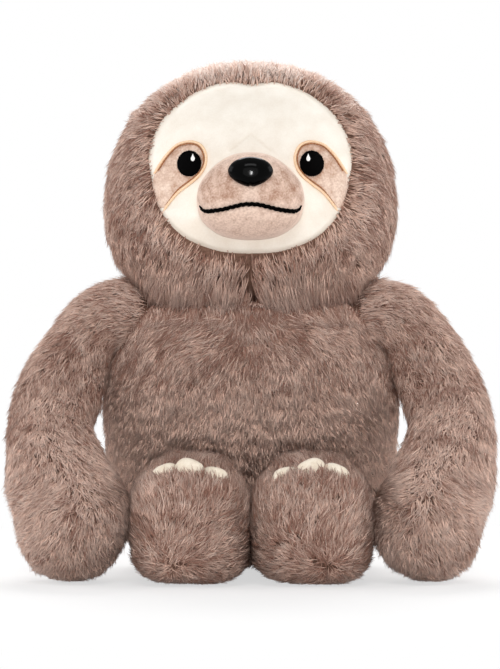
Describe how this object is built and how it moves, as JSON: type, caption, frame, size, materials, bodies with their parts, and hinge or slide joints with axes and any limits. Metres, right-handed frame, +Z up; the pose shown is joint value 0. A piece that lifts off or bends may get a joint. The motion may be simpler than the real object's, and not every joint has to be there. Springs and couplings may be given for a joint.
{
  "type": "plush sloth",
  "caption": "Seated soft toy sloth in long pile plush, with a velour face, turning head, lifting arms and legs, and padded claws.",
  "frame": {"origin": "on the floor under the middle of the toy's box, between the soles and the back of the head", "axes": "+Z up, the toy faces -Y, and its own left side is at +X"},
  "size_m": [0.2794, 0.187, 0.2975],
  "materials": {
    "pile_plush": "matte",
    "cream_velour": "matte",
    "pinkish_pile": "matte",
    "tan_velour": "matte",
    "claw_velour": "matte",
    "satin_cord": "satin",
    "black_thread": "satin",
    "white_thread": "satin",
    "nose_plastic": "gloss",
    "washer_plastic": "matte",
    "polyester_fill": "matte"
  },
  "bodies": {
    "torso": {"torso_cover": "pile_plush", "torso_stuffing": "polyester_fill"},
    "head": {"head_cover": "pile_plush", "head_stuffing": "polyester_fill", "face_panel": "cream_velour", "muzzle_cover": "tan_velour", "muzzle_stuffing": "polyester_fill", "mouth_stitch": "black_thread", "nose": "nose_plastic", "nose_washer": "washer_plastic", "eye_patch_left": "pinkish_pile", "eye_trim_left": "satin_cord", "eye_left": "black_thread", "eye_glint_left": "white_thread", "eye_patch_right": "pinkish_pile", "eye_trim_right": "satin_cord", "eye_right": "black_thread", "eye_glint_right": "white_thread"},
    "arm_left": {"arm_cover_left": "pile_plush", "arm_stuffing_left": "polyester_fill"},
    "leg_left": {"leg_cover_left": "pile_plush", "leg_stuffing_left": "polyester_fill", "claw_inner_left": "claw_velour", "claw_middle_left": "claw_velour", "claw_outer_left": "claw_velour"},
    "arm_right": {"arm_cover_right": "pile_plush", "arm_stuffing_right": "polyester_fill"},
    "leg_right": {"leg_cover_right": "pile_plush", "leg_stuffing_right": "polyester_fill", "claw_inner_right": "claw_velour", "claw_middle_right": "claw_velour", "claw_outer_right": "claw_velour"}
  },
  "joints": [
    {"name": "neck_turn", "type": "hinge", "parent": "torso", "child": "head", "pos_m": [0, 0.027, 0.155], "axis": [0, 0, 1], "range_deg": [-20, 20], "stiffness_Nm_per_rad": 0.25},
    {"name": "shoulder_left", "type": "hinge", "parent": "torso", "child": "arm_left", "pos_m": [0.067, 0.025, 0.149], "axis": [-1, 0, 0], "range_deg": [0, 75], "stiffness_Nm_per_rad": 0.05},
    {"name": "hip_left", "type": "hinge", "parent": "torso", "child": "leg_left", "pos_m": [0.0334, -0.024, 0.035], "axis": [-1, 0, 0], "range_deg": [0, 25], "stiffness_Nm_per_rad": 0.08},
    {"name": "shoulder_right", "type": "hinge", "parent": "torso", "child": "arm_right", "pos_m": [-0.067, 0.025, 0.149], "axis": [-1, 0, 0], "range_deg": [0, 75], "stiffness_Nm_per_rad": 0.05},
    {"name": "hip_right", "type": "hinge", "parent": "torso", "child": "leg_right", "pos_m": [-0.0334, -0.024, 0.035], "axis": [-1, 0, 0], "range_deg": [0, 25], "stiffness_Nm_per_rad": 0.08}
  ]
}
